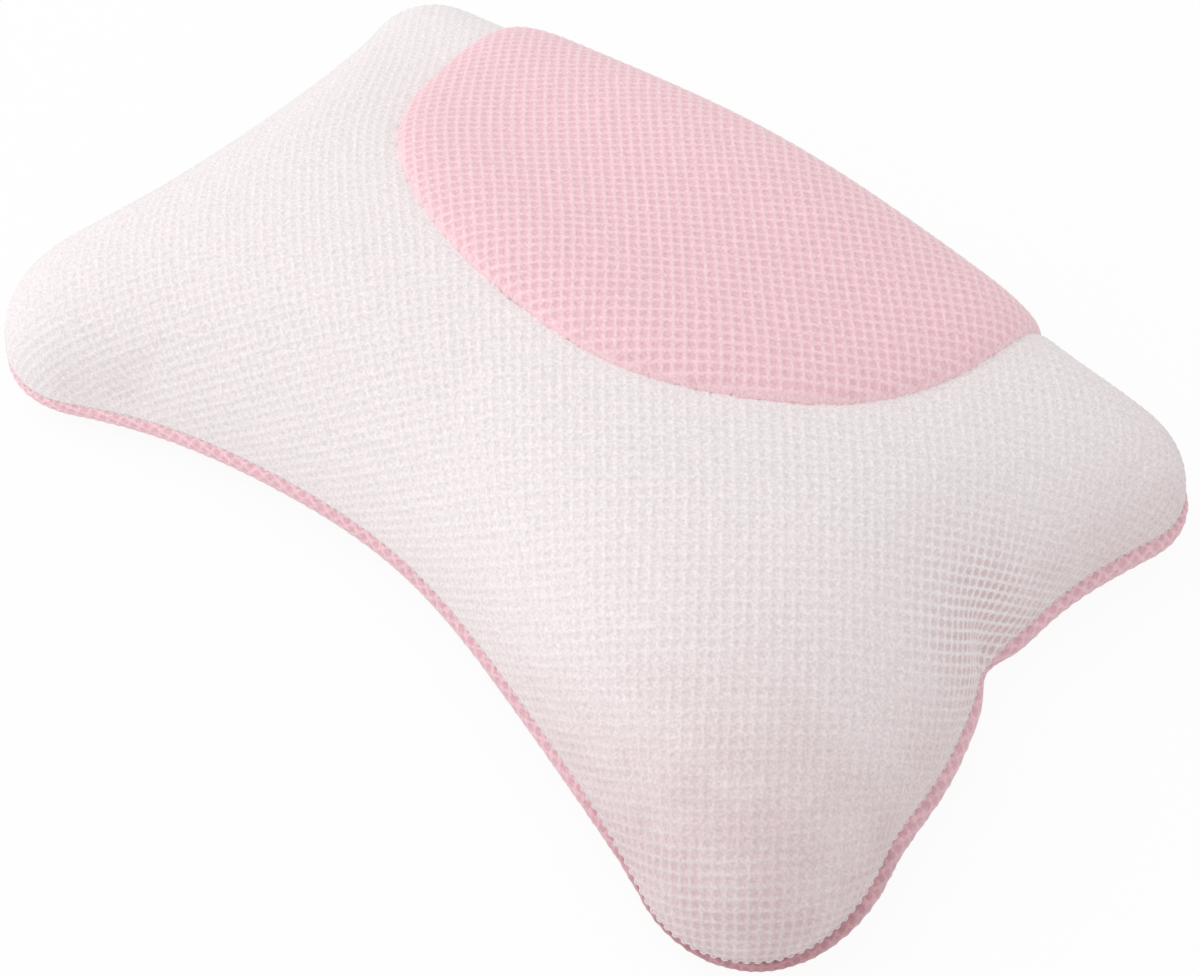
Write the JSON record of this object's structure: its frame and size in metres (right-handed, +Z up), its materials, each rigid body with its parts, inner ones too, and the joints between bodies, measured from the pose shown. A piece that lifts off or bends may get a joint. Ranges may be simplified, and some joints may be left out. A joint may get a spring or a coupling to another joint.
{
  "type": "bath pillow",
  "caption": "Four-lobed bath pillow in white spacer mesh with a raised pink head panel, a pink rim and base, and suction cups that swivel in eyelets.",
  "frame": {"origin": "on the surface that the suction cups' lips rest on, under the middle of the pillow's box", "axes": "+X along the pillow's long side, -Y towards its hollow front edge, +Y towards the rear seam that the head panel runs to, +Z up from the bath's surface through the crown"},
  "size_m": [0.3834, 0.2432, 0.0867],
  "materials": {
    "white_mesh": "white polyester spacer mesh with rows of rounded holes",
    "pink_mesh": "pale pink polyester spacer mesh with rows of rounded holes",
    "rim_mesh": "pink polyester spacer mesh, deeper in tone where it rolls round the rim",
    "thread": "pale polyester sewing thread",
    "fibre": "loose white polyester fibre",
    "clear_vinyl": "clear soft vinyl, glossy",
    "nickel": "nickel-plated brass, bright"
  },
  "bodies": {
    "pillow": {"top_panel": "white_mesh", "head_panel": "pink_mesh", "base_panel": "rim_mesh", "edge_seam_thread": "thread", "head_seam_thread": "thread", "main_filling": "fibre", "head_pad": "fibre", "cup_eyelet_front_left": "nickel", "cup_eyelet_front_right": "nickel", "cup_eyelet_rear_left": "nickel", "cup_eyelet_rear_right": "nickel", "cup_washer_front_left": "nickel", "cup_washer_front_right": "nickel", "cup_washer_rear_left": "nickel", "cup_washer_rear_right": "nickel", "cup_patch_front_left": "pink_mesh", "cup_patch_front_right": "pink_mesh", "cup_patch_rear_left": "pink_mesh", "cup_patch_rear_right": "pink_mesh"},
    "cup_front_left": {"suction_cup_front_left": "clear_vinyl"},
    "cup_front_right": {"suction_cup_front_right": "clear_vinyl"},
    "cup_rear_left": {"suction_cup_rear_left": "clear_vinyl"},
    "cup_rear_right": {"suction_cup_rear_right": "clear_vinyl"}
  },
  "joints": [
    {"name": "swivel_front_left", "type": "hinge", "parent": "pillow", "child": "cup_front_left", "pos_m": [-0.136, -0.0804, 0], "axis": [0, 0, 1], "continuous": true},
    {"name": "swivel_front_right", "type": "hinge", "parent": "pillow", "child": "cup_front_right", "pos_m": [0.136, -0.0804, 0], "axis": [0, 0, 1], "continuous": true},
    {"name": "swivel_rear_left", "type": "hinge", "parent": "pillow", "child": "cup_rear_left", "pos_m": [-0.143, 0.0804, 0], "axis": [0, 0, 1], "continuous": true},
    {"name": "swivel_rear_right", "type": "hinge", "parent": "pillow", "child": "cup_rear_right", "pos_m": [0.143, 0.0804, 0], "axis": [0, 0, 1], "continuous": true}
  ]
}
